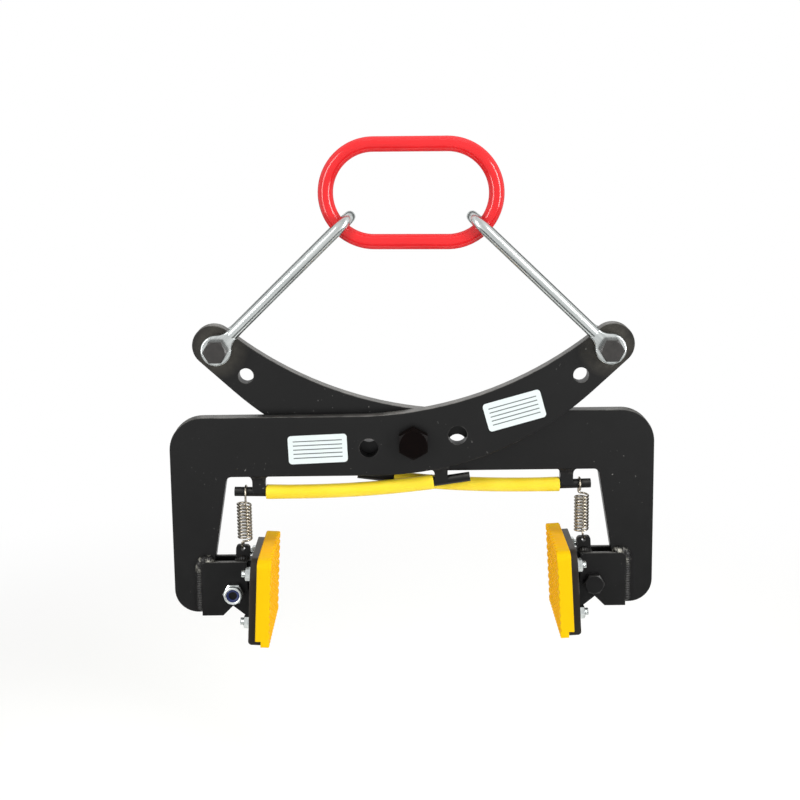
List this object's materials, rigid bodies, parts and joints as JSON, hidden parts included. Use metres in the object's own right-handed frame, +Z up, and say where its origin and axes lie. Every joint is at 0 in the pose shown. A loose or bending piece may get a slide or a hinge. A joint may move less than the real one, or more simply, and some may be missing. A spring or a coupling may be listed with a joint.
{
  "type": "lifting tongs",
  "caption": "Scissor lifting tongs: crossed plate arms on a bolt, hung by shackles from an oblong link, with sprung tilting jaws and knobbed pads that grip a block as it is raised.",
  "frame": {"origin": "hook seat: the middle of the top inside face of the master link", "axes": "+Z up along the lift, +Y from front to back through the plates, +X to the right seen from the front"},
  "size_m": [0.413, 0.0964, 0.4232],
  "materials": {
    "link_coating": "gloss powder coat",
    "zinc_plate": "bright zinc plate",
    "black_paint": "satin paint",
    "black_oxide": "black oxide",
    "weld_steel": "painted weld",
    "spring_steel": "zinc plate",
    "pad_polyurethane": "moulded polyurethane",
    "hose_polyurethane": "translucent polyurethane",
    "nylon": "nylon",
    "label": "printed blank"
  },
  "bodies": {
    "master_link": {"master_link": "link_coating"},
    "left_shackle": {"left_shackle": "zinc_plate", "left_shackle_bolt": "black_oxide", "left_shackle_nut": "black_oxide"},
    "back_arm": {"back_arm": "black_paint", "back_outer_peg": "black_paint", "back_inner_peg": "black_paint", "back_hose": "hose_polyurethane", "right_front_cheek": "black_paint", "right_rear_cheek": "black_paint", "right_bracket_welds": "weld_steel", "right_jaw_bolt": "black_oxide", "right_jaw_nut": "zinc_plate", "right_jaw_nut_insert": "nylon", "right_spring": "spring_steel"},
    "front_arm": {"front_arm": "black_paint", "front_outer_peg": "black_paint", "front_inner_peg": "black_paint", "front_hose": "hose_polyurethane", "pivot_bolt": "black_oxide", "pivot_washer": "black_oxide", "pivot_nut": "black_oxide", "name_label": "label", "notice_label": "label", "left_front_cheek": "black_paint", "left_rear_cheek": "black_paint", "left_bracket_welds": "weld_steel", "left_jaw_bolt": "black_oxide", "left_jaw_nut": "zinc_plate", "left_jaw_nut_insert": "nylon", "left_spring": "spring_steel"},
    "right_shackle": {"right_shackle": "zinc_plate", "right_shackle_bolt": "black_oxide", "right_shackle_nut": "black_oxide"},
    "left_jaw": {"left_knuckle": "black_paint", "left_spring_tab": "black_paint", "left_pad_holder": "black_paint", "left_grip_pad": "pad_polyurethane", "left_pad_studs": "zinc_plate", "left_pad_nuts": "zinc_plate"},
    "right_jaw": {"right_knuckle": "black_paint", "right_spring_tab": "black_paint", "right_pad_holder": "black_paint", "right_grip_pad": "pad_polyurethane", "right_pad_studs": "zinc_plate", "right_pad_nuts": "zinc_plate"}
  },
  "joints": [
    {"name": "left_link_swing", "type": "hinge", "parent": "master_link", "child": "left_shackle", "pos_m": [-0.0309, 0.0062, -0.0341], "axis": [0, -1, 0], "range_deg": [-5, 11]},
    {"name": "left_horn_pivot", "type": "hinge", "parent": "left_shackle", "child": "back_arm", "pos_m": [-0.1646, 0.0062, -0.16384], "axis": [0, 1, 0], "range_deg": [-11, 26]},
    {"name": "scissor", "type": "hinge", "parent": "back_arm", "child": "front_arm", "pos_m": [0, 0, -0.24344], "axis": [0, -1, 0], "range_deg": [-12, 30]},
    {"name": "right_horn_pivot", "type": "hinge", "parent": "front_arm", "child": "right_shackle", "pos_m": [0.1646, -0.0062, -0.16384], "axis": [0, 1, 0], "range_deg": [-11, 26]},
    {"name": "left_jaw_tilt", "type": "hinge", "parent": "front_arm", "child": "left_jaw", "pos_m": [-0.155, -0.0062, -0.37294], "axis": [0, 1, 0], "range_deg": [-6, 20], "stiffness_Nm_per_rad": 2, "springref_deg": -2.29, "deforming": ["left_spring"]},
    {"name": "right_jaw_tilt", "type": "hinge", "parent": "back_arm", "child": "right_jaw", "pos_m": [0.155, 0.0062, -0.37294], "axis": [0, -1, 0], "range_deg": [-6, 20], "stiffness_Nm_per_rad": 2, "springref_deg": -2.29, "deforming": ["right_spring"]}
  ],
  "couplings": [
    {"joint": "left_link_swing", "follows": "scissor", "ratio": 0.335},
    {"joint": "left_horn_pivot", "follows": "scissor", "ratio": 0.835},
    {"joint": "right_horn_pivot", "follows": "scissor", "ratio": 0.835}
  ]
}
